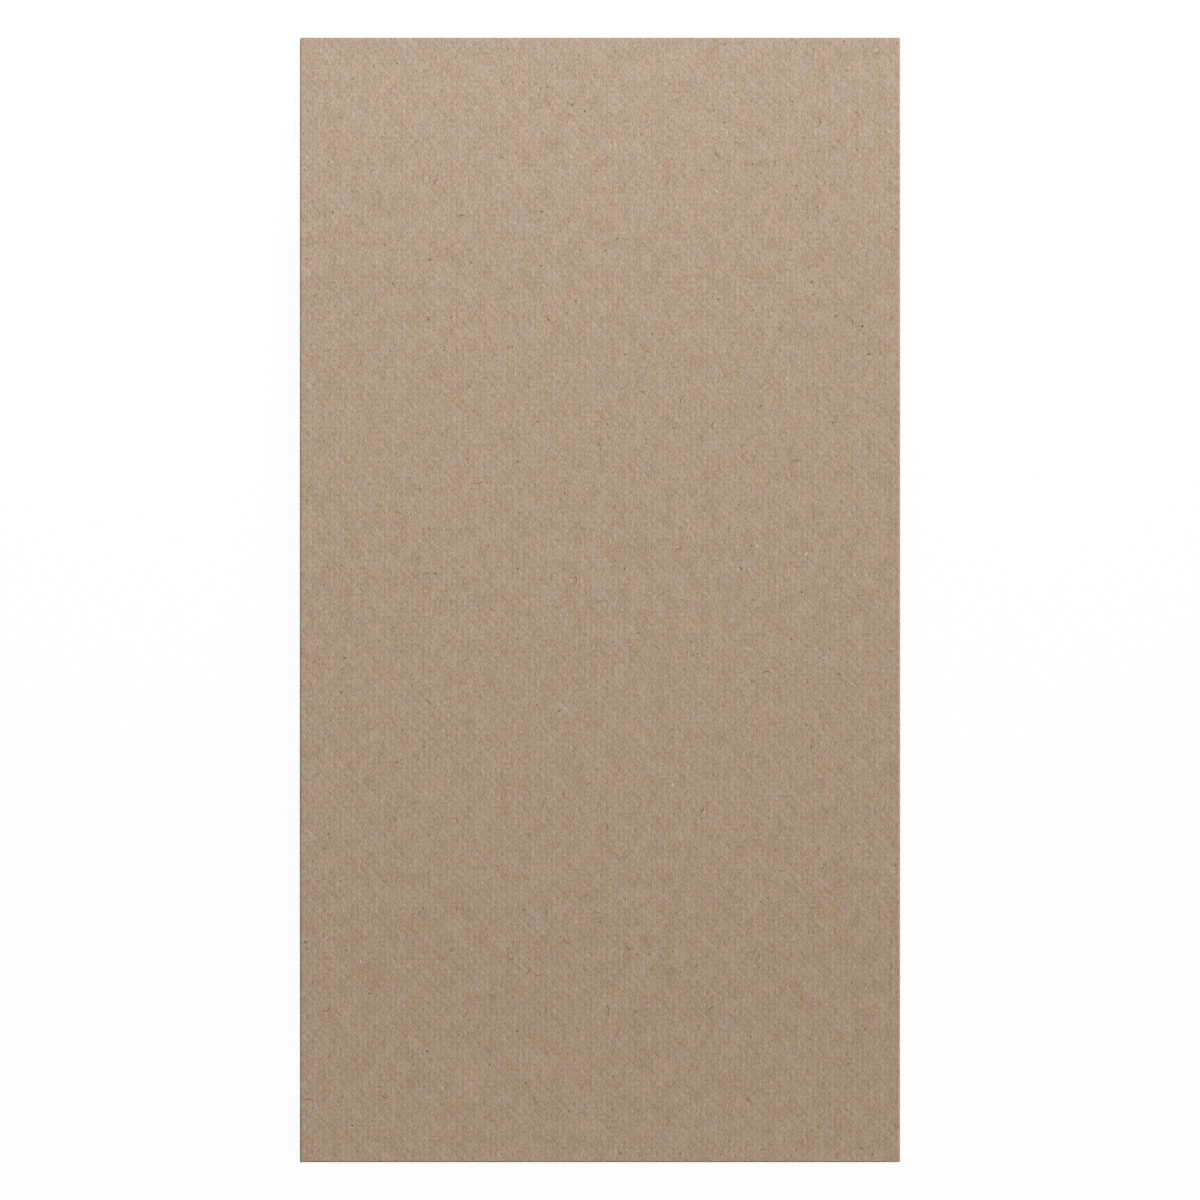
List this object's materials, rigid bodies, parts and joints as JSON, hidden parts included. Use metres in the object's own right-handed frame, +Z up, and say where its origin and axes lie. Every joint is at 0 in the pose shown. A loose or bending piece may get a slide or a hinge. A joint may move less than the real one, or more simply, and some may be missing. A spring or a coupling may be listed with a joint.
{
  "type": "paper guest towel",
  "caption": "Brown kraft paper guest towel with a fine embossed texture, letter-folded and folded over again into a thin flat oblong that lies on a table.",
  "frame": {"origin": "on the table, under the centre of the folded towel's outline", "axes": "+X across the towel, +Y along it from the open cut ends to the cross fold, +Z up from the table"},
  "size_m": [0.108, 0.2024, 0.0035],
  "materials": {
    "kraft_paper": "matt, embossed"
  },
  "bodies": {
    "root": {"guest_towel": "kraft_paper"}
  },
  "joints": []
}
